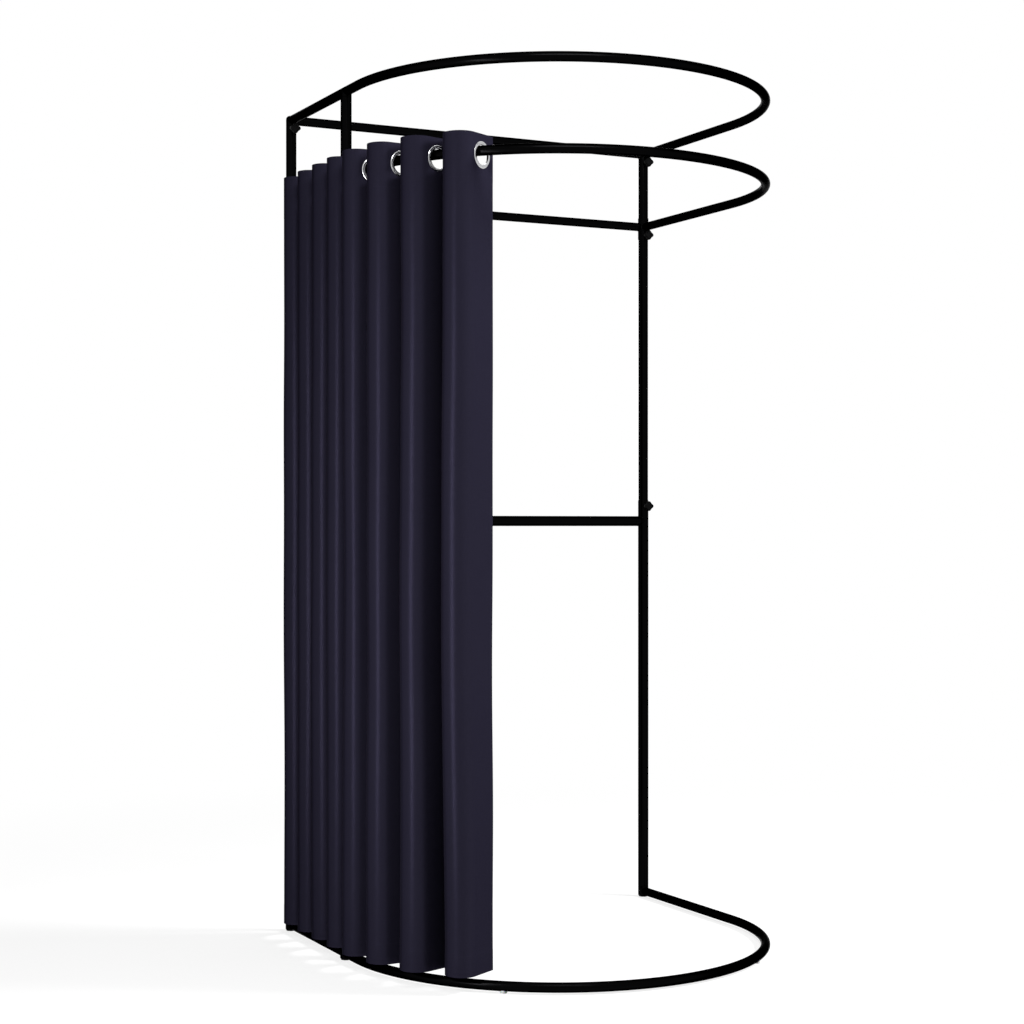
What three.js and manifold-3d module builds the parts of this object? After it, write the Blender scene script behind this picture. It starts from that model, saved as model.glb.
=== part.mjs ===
// Portable fitting room: three telescopic uprights carry a top hoop and a curtain rail hoop,
// a third hoop stands on the floor, and a gathered curtain hangs on the rail by its eyelets.
// Millimetres, +Z up. The doorway faces -Y, and the uprights stand at the back and on the left.
// While it is built, the rear left upright stands at x = 0, y = 0 and the floor is at z = 0.
import * as THREE from 'three';
import { mergeVertices } from 'three/addons/utils/BufferGeometryUtils.js';
import Module from 'manifold-3d';

const wasm = await Module();
wasm.setup();

// Plan of the hoops: a straight side, a half round bow and a straight side
const cabinWidth = 1000;
const sideLength = 432;
const frontUprightSetback = 69;

// Heights above the floor, to the centre of the tubes, and the rail's place below the top hoop
const topHoopHeight = 1989;
const railDrop = 195;
const crossBarHeight = 1006;

// Tubes
const hoopRadius = 11;
const baseHoopRadius = 11;
const hoopWall = 1.2;
const crossBarRadius = 13.2;
const upperTubeRadius = 12.7;
const upperTubeWall = 1.2;
const lowerTubeWall = 0.8;
const lowerTubeRise = 56;
const insertedLength = 300;

// Fits, spigots and corners
const gap = 0.3;
const cutOverrun = 5;
const spigotLength = 38;
const postSpigotLength = 60;
const plugLength = 20;
const stubReach = 28;
const bowLead = 40;
const postDrop = 14;
const capRounding = 9;

// Collars of the curtain rail
const collarWall = 1;
const collarRise = 24;
const collarDrop = 33;

// Thumb screws, measured from the axis of the upright
const bossRadius = 7;
const bossReach = 19;
const stemRadius = 3;
const hubRadius = 6.5;
const headStart = 24;
const headThickness = 10;
const headRadius = 13;
const headBevel = 1.2;
const headLobes = 4;
const lobeDepthShare = 0.24;
const topScrewDrop = 24;
const railScrewDrop = 24;
const clampScrewDrop = 16;

// Feet and front glides
const footHeight = 3.5;
const footRadius = 12;
const footPegRadius = 5;
const footPegLength = 9;
const glideRadius = 8;
const glideHeight = 8;
const glideAngle = THREE.MathUtils.degToRad(40);

// Curtain
const clothThickness = 1.6;
const curtainBottom = 38;
const curtainAboveRail = 36;
const rearHem = 36;
const leadingHem = 41;
const flankAngle = THREE.MathUtils.degToRad(75);
const flankLength = 30;
const firstEyeletPlace = 58.9;
const uprightEyeletSetback = 18.8;
const leastFoldPitch = 94;
const frontLoosening = 14.1;
const rearFoldWidth = 72.8;
const frontFoldWidth = 81.4;
const foldCount = 8;
const looseningPower = 5;
const widthPower = 2;

// Eyelets
const eyeletRadius = 29;
const eyeletBore = 21;
const eyeletBarrel = 24;
const eyeletFlange = 1.4;

// Facets
const tubeSides = 16;
const bowSteps = 36;
const bowSides = 12;
const bowBoreSides = 8;
const screwSides = 12;
const lobePoints = 5;
const eyeletSides = 14;
const crestSteps = 8;
const capSteps = 3;
const mergeTolerance = 1e-4;

// Sizes that follow
const bowRadius = cabinWidth / 2;
const sideTubeEnd = sideLength - bowLead;
const frontUprightPlace = sideLength - frontUprightSetback;
const railHeight = topHoopHeight - railDrop;
const baseHoopHeight = footHeight + baseHoopRadius;
const lowerTubeTop = crossBarHeight + lowerTubeRise;
const lowerBore = upperTubeRadius + gap;
const lowerTubeRadius = lowerBore + lowerTubeWall;
const upperBore = upperTubeRadius - upperTubeWall;
const collarBore = upperTubeRadius + gap;
const collarRadius = collarBore + collarWall;
const headCentre = headStart + headThickness / 2;
const rearSpan = frontUprightPlace - uprightEyeletSetback - firstEyeletPlace;
const rearFolds = Math.floor(rearSpan / leastFoldPitch);
const rearEyelets = 2 * rearFolds;
const eyeletCount = 2 * foldCount;
const eyeletHalfThickness = clothThickness / 2 + gap + eyeletFlange;
const eyeletDrop = eyeletBore * Math.cos(Math.PI / eyeletSides) - hoopRadius - gap;
const curtainHeight = railHeight + curtainAboveRail - curtainBottom;

const UP = new THREE.Vector3(0, 0, 1);
const INWARD = new THREE.Vector3(1, 0, 0);
const OUTWARD = new THREE.Vector3(-1, 0, 0);
const FORWARD = new THREE.Vector3(0, -1, 0);

const blackSteel = new THREE.MeshStandardMaterial({ color: 0x131315, roughness: 0.35, metalness: 0.6 });
const blackPlastic = new THREE.MeshStandardMaterial({ color: 0x0d0d0f, roughness: 0.45, metalness: 0 });
const blackRubber = new THREE.MeshStandardMaterial({ color: 0x161616, roughness: 0.8, metalness: 0 });
const clearRubber = new THREE.MeshStandardMaterial({ color: 0xe6e8ea, roughness: 0.4, metalness: 0 });
const chrome = new THREE.MeshStandardMaterial({ color: 0xd2d3d6, roughness: 0.15, metalness: 1 });
const navyCloth = new THREE.MeshStandardMaterial({ color: 0x2d2b3a, roughness: 0.9, metalness: 0 });

const room = new THREE.Group();

// Solids

function point(x, y, z) {
  return new THREE.Vector3(x, y, z);
}

function circlePoints(radius, sides) {
  return Array.from({ length: sides }, (_, i) => {
    const angle = (i + 0.5) * 2 * Math.PI / sides;
    return new THREE.Vector2(radius * Math.cos(angle), radius * Math.sin(angle));
  });
}

function roundShape(radius, bore, sides, boreSides) {
  const shape = new THREE.Shape(circlePoints(radius, sides));
  if (bore > 0) {
    shape.holes.push(new THREE.Path(circlePoints(bore, boreSides).reverse()));
  }
  return shape;
}

// Turns a geometry built along +Z so that it runs along a direction from a point.
function aim(geometry, from, direction) {
  const turn = new THREE.Quaternion().setFromUnitVectors(UP, direction);
  return geometry.applyQuaternion(turn).translate(from.x, from.y, from.z);
}

function rod(from, to, radius, bore = 0, sides = tubeSides) {
  const shape = roundShape(radius, bore, sides, sides);
  const depth = from.distanceTo(to);
  const geometry = new THREE.ExtrudeGeometry(shape, { depth, bevelEnabled: false });
  return aim(geometry, from, to.clone().sub(from).normalize());
}

// A solid of revolution about +Z; the profile is [radius, height] from the bottom up.
function turned(profile, sides) {
  const points = profile.map(([radius, height]) => new THREE.Vector2(radius, height));
  return new THREE.LatheGeometry(points, sides).rotateX(Math.PI / 2);
}

function solid(geometry) {
  geometry.deleteAttribute('normal');
  geometry.deleteAttribute('uv');
  const merged = mergeVertices(geometry, mergeTolerance);
  const index = merged.index.array;
  const corners = [];
  for (let i = 0; i < index.length; i += 3) {
    const [a, b, c] = [index[i], index[i + 1], index[i + 2]];
    if (a !== b && b !== c && c !== a) {
      corners.push(a, b, c);
    }
  }
  const vertProperties = new Float32Array(merged.attributes.position.array);
  const triVerts = new Uint32Array(corners);
  return new wasm.Manifold(new wasm.Mesh({ numProp: 3, vertProperties, triVerts }));
}

function joined(geometries, cuts = []) {
  let body = solid(geometries[0]);
  for (const geometry of geometries.slice(1)) {
    body = body.add(solid(geometry));
  }
  for (const cut of cuts) {
    body = body.subtract(solid(cut));
  }
  const mesh = body.getMesh();
  const result = new THREE.BufferGeometry();
  result.setAttribute('position', new THREE.BufferAttribute(mesh.vertProperties, 3));
  result.setIndex(new THREE.BufferAttribute(mesh.triVerts, 1));
  result.computeVertexNormals();
  return result;
}

function addPiece(name, geometry, material) {
  const mesh = new THREE.Mesh(geometry, material);
  mesh.name = name;
  room.add(mesh);
}

// The radius of a hole whose flats clear a round piece of the given radius.
function holeFor(radius, sides) {
  return (radius + gap) / Math.cos(Math.PI / sides);
}

// The radius of a spigot that clears the flats of the bore it goes into.
function spigotFor(bore, boreSides) {
  return bore * Math.cos(Math.PI / boreSides) - gap;
}

// Plan of a hoop

// The place and heading on a hoop's centreline, by the distance from its rear left corner.
function onHoop(along) {
  const bend = THREE.MathUtils.clamp((along - sideLength) / bowRadius, 0, Math.PI);
  const straight = along - bend * bowRadius;
  const heading = new THREE.Vector2(Math.sin(bend), -Math.cos(bend));
  const place = new THREE.Vector2(bowRadius * (1 - Math.cos(bend)), -bowRadius * Math.sin(bend));
  if (bend < Math.PI) {
    place.y -= Math.min(along, sideLength);
  } else {
    place.y += straight - 2 * sideLength;
  }
  return { place, heading };
}

class BowPath extends THREE.Curve {
  constructor(height, lead) {
    super();
    this.height = height;
    this.start = sideLength - lead;
    this.length = Math.PI * bowRadius + 2 * lead;
  }

  getPoint(t, target = new THREE.Vector3()) {
    const { place } = onHoop(this.start + t * this.length);
    return target.set(place.x, place.y, this.height);
  }
}

function bow(height, radius) {
  const shape = roundShape(radius, radius - hoopWall, bowSides, bowBoreSides);
  const extrudePath = new BowPath(height, bowLead - gap);
  return new THREE.ExtrudeGeometry(shape, { steps: bowSteps, bevelEnabled: false, extrudePath });
}

// Frame parts

// A side tube from its corner to the joint with the bow, and the spigot welded into its end.
function sideTube(x, height, radius) {
  const spigot = spigotFor(radius - hoopWall, bowBoreSides);
  return [
    rod(point(x, 0, height), point(x, -sideTubeEnd, height), radius),
    rod(point(x, plugLength - sideTubeEnd, height), point(x, -sideTubeEnd - spigotLength, height), spigot),
  ];
}

// The hollow of a side tube, which ends in the corner post and runs out through the spigot.
function sideHollow(x, height, radius) {
  const spigot = spigotFor(radius - hoopWall, bowBoreSides);
  const at = (y) => point(x, y, height);
  const plugStart = plugLength - sideTubeEnd;
  const outside = -sideTubeEnd - spigotLength - cutOverrun;
  return [
    rod(at(-stubReach), at(plugStart), radius - hoopWall, 0, bowBoreSides),
    rod(at(plugStart + cutOverrun), at(outside), spigot - hoopWall, 0, bowBoreSides),
  ];
}

// The stub and spigot that hold a bar running across the back.
function backStub(place, direction, radius) {
  const spigot = spigotFor(radius - hoopWall, tubeSides);
  const reach = (length) => place.clone().addScaledVector(direction, length);
  return [
    rod(place, reach(stubReach), radius),
    rod(place, reach(stubReach + spigotLength), spigot),
  ];
}

function backBar(height, radius) {
  const end = stubReach + gap;
  return rod(point(end, 0, height), point(cabinWidth - end, 0, height), radius, radius - hoopWall);
}

// A post that carries the top hoop, with its spigot down into the upright. The round end of a
// capped one closes a rear corner; the other ends inside the side tube.
function topPost(x, y, capped) {
  const bottom = topHoopHeight - postDrop;
  const top = capped ? topHoopHeight + hoopRadius : topHoopHeight;
  const rounding = capped ? capRounding : 0;
  const profile = [[0, bottom], [upperTubeRadius, bottom]];
  for (let step = 0; step <= capSteps; step += 1) {
    const turn = step / capSteps * Math.PI / 2;
    const inset = rounding * (1 - Math.cos(turn));
    profile.push([upperTubeRadius - inset, top - rounding * (1 - Math.sin(turn))]);
  }
  profile.push([0, top]);
  const post = turned(profile, tubeSides).translate(x, y, 0);
  return [post, rod(point(x, y, bottom - postSpigotLength), point(x, y, topHoopHeight), upperBore - gap)];
}

// A post that an upright stands on, with its spigot up into the upright.
function basePost(x, y) {
  const top = baseHoopHeight + postDrop;
  return [
    rod(point(x, y, footHeight), point(x, y, top), lowerTubeRadius),
    rod(point(x, y, baseHoopHeight), point(x, y, top + postSpigotLength), lowerBore - gap),
  ];
}

function pegHole(x, y) {
  const radius = holeFor(footPegRadius, tubeSides);
  return rod(point(x, y, 0), point(x, y, footHeight + footPegLength), radius);
}

function boss(axis, direction) {
  return rod(axis, axis.clone().addScaledVector(direction, bossReach), bossRadius, 0, screwSides);
}

function stemHole(axis, direction) {
  const end = axis.clone().addScaledVector(direction, bossReach + cutOverrun);
  return rod(axis, end, holeFor(stemRadius, screwSides), 0, screwSides);
}

function upperUpright(x, y, screwDirection) {
  const bottom = lowerTubeTop - insertedLength;
  const top = topHoopHeight - postDrop - gap;
  const tube = rod(point(x, y, bottom), point(x, y, top), upperTubeRadius, upperBore);
  if (!screwDirection) {
    return tube;
  }
  const axis = point(x, y, topHoopHeight - topScrewDrop);
  const bore = rod(point(x, y, bottom), point(x, y, top + cutOverrun), upperBore);
  return joined([tube, boss(axis, screwDirection)], [bore, stemHole(axis, screwDirection)]);
}

function lowerUpright(x, y, screwDirection, stubDirection) {
  const bottom = baseHoopHeight + postDrop + gap;
  const axis = point(x, y, lowerTubeTop - clampScrewDrop);
  const shell = rod(point(x, y, bottom), point(x, y, lowerTubeTop), lowerTubeRadius);
  const stub = stubDirection ? backStub(point(x, y, crossBarHeight), stubDirection, crossBarRadius) : [];
  const bore = rod(point(x, y, bottom - cutOverrun), point(x, y, lowerTubeTop + cutOverrun), lowerBore);
  return joined([shell, ...stub, boss(axis, screwDirection)], [bore, stemHole(axis, screwDirection)]);
}

function collar(x, y) {
  return rod(point(x, y, railHeight - collarDrop), point(x, y, railHeight + collarRise), collarRadius);
}

function collarCut(x, y) {
  const bottom = railHeight - collarDrop - cutOverrun;
  return rod(point(x, y, bottom), point(x, y, railHeight + collarRise + cutOverrun), collarBore);
}

// A thumb screw along +Z, from the face it presses on to the front of its lobed head.
function thumbScrew(tip) {
  const count = headLobes * lobePoints;
  const outline = Array.from({ length: count }, (_, i) => {
    const angle = i * 2 * Math.PI / count;
    const dip = lobeDepthShare * (1 - Math.cos(headLobes * angle)) / 2;
    const radius = (headRadius - headBevel) * (1 - dip);
    return new THREE.Vector2(radius * Math.cos(angle), radius * Math.sin(angle));
  });
  const head = new THREE.ExtrudeGeometry(new THREE.Shape(outline), {
    depth: headThickness - 2 * headBevel,
    bevelThickness: headBevel,
    bevelSize: headBevel,
    bevelSegments: 1,
  }).translate(0, 0, headStart + headBevel);
  const onAxis = (height) => point(0, 0, height);
  return joined([
    head,
    rod(onAxis(bossReach + gap), onAxis(headCentre), hubRadius, 0, screwSides),
    rod(onAxis(tip), onAxis(headCentre), stemRadius, 0, screwSides),
  ]);
}

function addScrew(name, x, y, height, direction, tip) {
  addPiece(name, aim(thumbScrew(tip), point(x, y, height), direction), blackPlastic);
}

// Curtain

// The width of an outward fold at its eyelets. The folds widen to the front.
function foldWidth(fold) {
  const widthShare = (fold / (foldCount - 1)) ** widthPower;
  return rearFoldWidth + (frontFoldWidth - rearFoldWidth) * widthShare;
}

// How far along the rail each eyelet hangs. The pitch puts an eyelet just behind the front
// upright, and the folds loosen to the front.
function eyeletPlaces() {
  const pitch = rearSpan / rearFolds;
  const places = [];
  for (let fold = 0; fold < foldCount; fold += 1) {
    const alongShare = fold / (foldCount - 1);
    const near = firstEyeletPlace + pitch * fold + frontLoosening * alongShare ** looseningPower;
    places.push(near, near + foldWidth(fold));
  }
  return places;
}

// Half a fold, from an eyelet to the middle of the crest: a straight flank and a round part.
// It is measured along the line between two eyelets and away from it.
function halfFold(halfChord, angle) {
  const radius = (halfChord - flankLength * Math.cos(angle)) / Math.sin(angle);
  const crest = flankLength * Math.sin(angle) + radius * (1 - Math.cos(angle));
  const half = [new THREE.Vector2(0, 0)];
  for (let step = 0; step <= crestSteps / 2; step += 1) {
    const turn = angle * (1 - 2 * step / crestSteps);
    half.push(new THREE.Vector2(halfChord - radius * Math.sin(turn), crest - radius * (1 - Math.cos(turn))));
  }
  return half;
}

// The cloth's centreline on both sides of the crest between eyelets i and i + 1.
function foldBetween(places, i) {
  const from = onHoop(places[i]);
  const to = onHoop(places[i + 1]);
  const chord = to.place.clone().sub(from.place);
  const along = chord.clone().normalize();
  const side = i % 2 === 0 ? 1 : -1;
  const away = new THREE.Vector2(along.y, -along.x).multiplyScalar(side);
  const half = (end, sense) => {
    const bend = Math.acos(Math.min(1, along.dot(end.heading)));
    return halfFold(chord.length() / 2, flankAngle + side * bend)
      .map((p) => end.place.clone().addScaledVector(along, sense * p.x).addScaledVector(away, p.y));
  };
  return { first: half(from, 1), second: half(to, -1).reverse() };
}

// The direction in which the cloth passes an eyelet, from the rear hem to the leading hem.
function flankHeading(places, i) {
  const { heading } = onHoop(places[i]);
  const side = i % 2 === 0 ? -1 : 1;
  return heading.clone().rotateAround(new THREE.Vector2(), side * flankAngle);
}

// The centreline of the cloth of eyelet i, from crest to crest or to a hem.
function clothLine(places, i) {
  const { place } = onHoop(places[i]);
  const heading = flankHeading(places, i);
  const hem = (length) => [place.clone().addScaledVector(heading, length)];
  const before = i > 0 ? foldBetween(places, i - 1).second : hem(-rearHem);
  const after = i < eyeletCount - 1 ? foldBetween(places, i).first : hem(leadingHem);
  return [...before, ...after].filter((p) => p.distanceTo(place) > mergeTolerance);
}

// The centrelines of all the strips. The fold round the front upright is parted where its rear
// flank ends, not at its crest, so that each of its strips passes the tube on one side only.
function stripLines(places) {
  const lines = places.map((_, i) => clothLine(places, i));
  const crest = lines[rearEyelets].splice(-crestSteps / 2);
  const flankEnd = lines[rearEyelets].at(-1).clone();
  lines[rearEyelets + 1] = [flankEnd, ...crest, ...lines[rearEyelets + 1].slice(1)];
  return lines;
}

// Draws the ends of a line in, so that neighbouring strips of cloth keep the gap.
function trimmed(line, first, last) {
  const result = line.map((p) => p.clone());
  const end = result.length - 1;
  if (first) {
    result[0].addScaledVector(result[1].clone().sub(result[0]).normalize(), gap / 2);
  }
  if (last) {
    result[end].addScaledVector(result[end - 1].clone().sub(result[end]).normalize(), gap / 2);
  }
  return result;
}

// An upright sheet of cloth along a centreline.
function sheet(line) {
  const normals = line.map((p, i) => {
    const before = line[Math.max(i - 1, 0)];
    const after = line[Math.min(i + 1, line.length - 1)];
    const along = after.clone().sub(before).normalize();
    return new THREE.Vector2(along.y, -along.x);
  });
  const half = clothThickness / 2;
  const edge = (side) => line.map((p, i) => p.clone().addScaledVector(normals[i], side * half));
  const shape = new THREE.Shape([...edge(1), ...edge(-1).reverse()]);
  const geometry = new THREE.ExtrudeGeometry(shape, { depth: curtainHeight, bevelEnabled: false });
  return geometry.translate(0, 0, curtainBottom);
}

function eyeletCentre(places, i) {
  const { place } = onHoop(places[i]);
  return point(place.x, place.y, railHeight - eyeletDrop);
}

function eyeletNormal(places, i) {
  const heading = flankHeading(places, i);
  return point(heading.y, -heading.x, 0);
}

function eyeletHole(places, i) {
  const centre = eyeletCentre(places, i);
  const reach = eyeletNormal(places, i).multiplyScalar(eyeletHalfThickness);
  return rod(centre.clone().sub(reach), centre.clone().add(reach), holeFor(eyeletBarrel, eyeletSides));
}

function eyelet() {
  const groove = clothThickness / 2 + gap;
  return turned([
    [eyeletBore, -eyeletHalfThickness],
    [eyeletRadius, -eyeletHalfThickness],
    [eyeletRadius, -groove],
    [eyeletBarrel, -groove],
    [eyeletBarrel, groove],
    [eyeletRadius, groove],
    [eyeletRadius, eyeletHalfThickness],
    [eyeletBore, eyeletHalfThickness],
    [eyeletBore, -eyeletHalfThickness],
  ], eyeletSides);
}

// Sub-parts

function addBaseHoop() {
  const left = sideTube(0, baseHoopHeight, baseHoopRadius);
  const right = sideTube(cabinWidth, baseHoopHeight, baseHoopRadius);
  const front = -frontUprightPlace;
  addPiece('base_side_left', joined([...left, ...basePost(0, 0), ...basePost(0, front)], [
    ...sideHollow(0, baseHoopHeight, baseHoopRadius),
    pegHole(0, 0),
    pegHole(0, front),
  ]), blackSteel);
  addPiece('base_side_right', joined([...right, ...basePost(cabinWidth, 0)], [
    ...sideHollow(cabinWidth, baseHoopHeight, baseHoopRadius),
    pegHole(cabinWidth, 0),
  ]), blackSteel);
  addPiece('base_bow', bow(baseHoopHeight, baseHoopRadius), blackSteel);
}

function addTopHoop() {
  const left = point(0, 0, topHoopHeight);
  const right = point(cabinWidth, 0, topHoopHeight);
  addPiece('top_side_left', joined([
    ...sideTube(0, topHoopHeight, hoopRadius),
    ...topPost(0, 0, true),
    ...topPost(0, -frontUprightPlace, false),
    ...backStub(left, INWARD, hoopRadius),
  ], sideHollow(0, topHoopHeight, hoopRadius)), blackSteel);
  addPiece('top_side_right', joined([
    ...sideTube(cabinWidth, topHoopHeight, hoopRadius),
    ...topPost(cabinWidth, 0, true),
    ...backStub(right, OUTWARD, hoopRadius),
  ], sideHollow(cabinWidth, topHoopHeight, hoopRadius)), blackSteel);
  addPiece('top_bow', bow(topHoopHeight, hoopRadius), blackSteel);
  addPiece('top_back_bar', backBar(topHoopHeight, hoopRadius), blackSteel);
}

function addRailHoop() {
  const rear = point(0, 0, railHeight - railScrewDrop);
  const front = point(0, -frontUprightPlace, railHeight - railScrewDrop);
  const right = point(cabinWidth, 0, railHeight - railScrewDrop);
  addPiece('rail_side_left', joined([
    ...sideTube(0, railHeight, hoopRadius),
    collar(0, 0),
    collar(0, -frontUprightPlace),
    ...backStub(point(0, 0, railHeight), INWARD, hoopRadius),
    boss(rear, INWARD),
    boss(front, INWARD),
  ], [
    collarCut(0, 0),
    collarCut(0, -frontUprightPlace),
    stemHole(rear, INWARD),
    stemHole(front, INWARD),
    ...sideHollow(0, railHeight, hoopRadius),
  ]), blackSteel);
  addPiece('rail_side_right', joined([
    ...sideTube(cabinWidth, railHeight, hoopRadius),
    collar(cabinWidth, 0),
    ...backStub(point(cabinWidth, 0, railHeight), OUTWARD, hoopRadius),
    boss(right, FORWARD),
  ], [
    collarCut(cabinWidth, 0),
    stemHole(right, FORWARD),
    ...sideHollow(cabinWidth, railHeight, hoopRadius),
  ]), blackSteel);
  addPiece('rail_bow', bow(railHeight, hoopRadius), blackSteel);
  addPiece('rail_back_bar', backBar(railHeight, hoopRadius), blackSteel);
}

function addUprights() {
  const front = -frontUprightPlace;
  addPiece('lower_upright_rear_left', lowerUpright(0, 0, INWARD, INWARD), blackSteel);
  addPiece('lower_upright_front_left', lowerUpright(0, front, INWARD), blackSteel);
  addPiece('lower_upright_rear_right', lowerUpright(cabinWidth, 0, FORWARD, OUTWARD), blackSteel);
  addPiece('upper_upright_rear_left', upperUpright(0, 0, FORWARD), blackSteel);
  addPiece('upper_upright_front_left', upperUpright(0, front), blackSteel);
  addPiece('upper_upright_rear_right', upperUpright(cabinWidth, 0, FORWARD), blackSteel);
  addPiece('cross_bar', backBar(crossBarHeight, crossBarRadius), blackSteel);
}

function addScrews() {
  const front = -frontUprightPlace;
  const topHeight = topHoopHeight - topScrewDrop;
  const railScrewHeight = railHeight - railScrewDrop;
  const clampHeight = lowerTubeTop - clampScrewDrop;
  addScrew('top_screw_rear_left', 0, 0, topHeight, FORWARD, upperBore);
  addScrew('top_screw_rear_right', cabinWidth, 0, topHeight, FORWARD, upperBore);
  addScrew('rail_screw_rear_left', 0, 0, railScrewHeight, INWARD, collarBore);
  addScrew('rail_screw_front_left', 0, front, railScrewHeight, INWARD, collarBore);
  addScrew('rail_screw_rear_right', cabinWidth, 0, railScrewHeight, FORWARD, collarBore);
  addScrew('clamp_screw_rear_left', 0, 0, clampHeight, INWARD, lowerBore);
  addScrew('clamp_screw_front_left', 0, front, clampHeight, INWARD, lowerBore);
  addScrew('clamp_screw_rear_right', cabinWidth, 0, clampHeight, FORWARD, lowerBore);
}

function addFeet() {
  const foot = () => turned([
    [0, 0],
    [footRadius, 0],
    [footRadius, footHeight - gap],
    [footPegRadius, footHeight - gap],
    [footPegRadius, footHeight + footPegLength - gap],
    [0, footHeight + footPegLength - gap],
  ], tubeSides);
  addPiece('foot_rear_left', foot(), blackRubber);
  addPiece('foot_front_left', foot().translate(0, -frontUprightPlace, 0), blackRubber);
  addPiece('foot_rear_right', foot().translate(cabinWidth, 0, 0), blackRubber);
  [['glide_left', -1], ['glide_right', 1]].forEach(([name, side]) => {
    const along = sideLength + bowRadius * (Math.PI / 2 + side * glideAngle);
    const { place, heading } = onHoop(along);
    const centre = point(place.x, place.y, baseHoopHeight);
    const reach = point(heading.x, heading.y, 0).multiplyScalar(glideRadius + cutOverrun);
    const bore = holeFor(baseHoopRadius, tubeSides);
    const tube = rod(centre.clone().sub(reach), centre.clone().add(reach), bore);
    const pad = rod(point(place.x, place.y, 0), point(place.x, place.y, glideHeight), glideRadius);
    addPiece(name, joined([pad], [tube]), clearRubber);
  });
}

// The rear of the curtain hangs between uprights; from there on each strip follows its eyelet.
function addCurtain() {
  const places = eyeletPlaces();
  const lines = stripLines(places);
  const label = (i) => String(i + 1).padStart(2, '0');
  const rearLine = lines.slice(0, rearEyelets).flatMap((line, i) => (i === 0 ? line : line.slice(1)));
  const rearHoles = Array.from({ length: rearEyelets }, (_, i) => eyeletHole(places, i));
  addPiece('curtain_rear', joined([sheet(trimmed(rearLine, false, true))], rearHoles), navyCloth);
  for (let i = rearEyelets; i < eyeletCount; i += 1) {
    const line = trimmed(lines[i], true, i < eyeletCount - 1);
    addPiece(`curtain_pleat_${label(i)}`, joined([sheet(line)], [eyeletHole(places, i)]), navyCloth);
  }
  for (let i = 0; i < eyeletCount; i += 1) {
    const ring = aim(eyelet(), eyeletCentre(places, i), eyeletNormal(places, i));
    addPiece(`eyelet_${label(i)}`, ring, chrome);
  }
}

addBaseHoop();
addTopHoop();
addRailHoop();
addUprights();
addScrews();
addFeet();
addCurtain();

// The origin goes to the middle of the bottom of the whole object's box.
const box = new THREE.Box3().setFromObject(room, true);
const middle = box.getCenter(new THREE.Vector3());
room.position.set(-middle.x, -middle.y, -box.min.z);

export default room;
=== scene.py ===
"""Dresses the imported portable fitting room: smooth painted tubes with their welds, moulded
thumb screws, chrome eyelets and one gathered curtain. Metres, +Z up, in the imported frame."""
import math

import bmesh
import bpy
import numpy as np
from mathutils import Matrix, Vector


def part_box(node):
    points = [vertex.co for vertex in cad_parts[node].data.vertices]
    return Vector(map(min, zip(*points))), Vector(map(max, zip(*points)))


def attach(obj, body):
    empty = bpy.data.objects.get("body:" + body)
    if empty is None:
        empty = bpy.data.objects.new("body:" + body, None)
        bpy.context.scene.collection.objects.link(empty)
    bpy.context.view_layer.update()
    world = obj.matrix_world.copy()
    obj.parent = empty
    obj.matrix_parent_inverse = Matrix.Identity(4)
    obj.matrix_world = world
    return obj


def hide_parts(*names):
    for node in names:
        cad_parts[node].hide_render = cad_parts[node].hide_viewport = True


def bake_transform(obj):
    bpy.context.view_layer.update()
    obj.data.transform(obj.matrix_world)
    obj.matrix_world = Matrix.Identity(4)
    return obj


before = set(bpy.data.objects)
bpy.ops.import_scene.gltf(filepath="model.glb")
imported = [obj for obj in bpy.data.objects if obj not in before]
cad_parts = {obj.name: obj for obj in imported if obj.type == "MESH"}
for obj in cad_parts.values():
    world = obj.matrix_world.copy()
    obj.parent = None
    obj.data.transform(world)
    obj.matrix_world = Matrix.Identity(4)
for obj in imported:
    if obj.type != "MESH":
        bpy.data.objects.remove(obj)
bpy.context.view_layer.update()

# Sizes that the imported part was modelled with
CABIN_WIDTH = 1.0
SIDE_LENGTH = 0.432
FRONT_SETBACK = 0.069
TOP_HEIGHT = 1.989
RAIL_DROP = 0.195
CROSS_HEIGHT = 1.006
LOWER_RISE = 0.056
INSERTED = 0.300
HOOP_R = 0.011
BASE_HOOP_R = 0.011
HOOP_WALL = 0.0012
CROSS_R = 0.0132
UPPER_R = 0.0127
UPPER_WALL = 0.0012
LOWER_WALL = 0.0008
GAP = 0.0003
BOW_LEAD = 0.040
STUB_REACH = 0.028
SPIGOT_REACH = 0.038
POST_DROP = 0.014
POST_SPIGOT = 0.060
CAP_ROUNDING = 0.009
COLLAR_WALL = 0.001
COLLAR_RISE = 0.024
COLLAR_DROP = 0.033
BOSS_R = 0.007
BOSS_REACH = 0.019
HUB_R = 0.0065
STEM_R = 0.003
HEAD_START = 0.024
HEAD_THICKNESS = 0.010
HEAD_R = 0.013
LOBES = 4
LOBE_DEPTH_SHARE = 0.24
TOP_SCREW_DROP = 0.024
RAIL_SCREW_DROP = 0.024
CLAMP_SCREW_DROP = 0.016
FOOT_HEIGHT = 0.0035
FOOT_R = 0.012
FOOT_PEG = 0.009
FOOT_PEG_R = 0.005
GLIDE_R = 0.008
GLIDE_HEIGHT = 0.008
GLIDE_ANGLE = math.radians(40)
CURTAIN_BOTTOM = 0.038
CURTAIN_ABOVE_RAIL = 0.036
REAR_HEM = 0.036
LEADING_HEM = 0.041
FLANK_ANGLE = math.radians(75)
FLANK_LENGTH = 0.030
FIRST_EYELET = 0.0589
UPRIGHT_EYELET_SETBACK = 0.0188
LEAST_PITCH = 0.094
LOOSENING = 0.0141
REAR_FOLD = 0.0728
FRONT_FOLD = 0.0814
FOLDS = 8
LOOSENING_POWER = 5
WIDTH_POWER = 2
EYELET_R = 0.029
EYELET_BORE = 0.021
EYELET_BARREL = 0.024
EYELET_HALF = 0.0025
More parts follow.
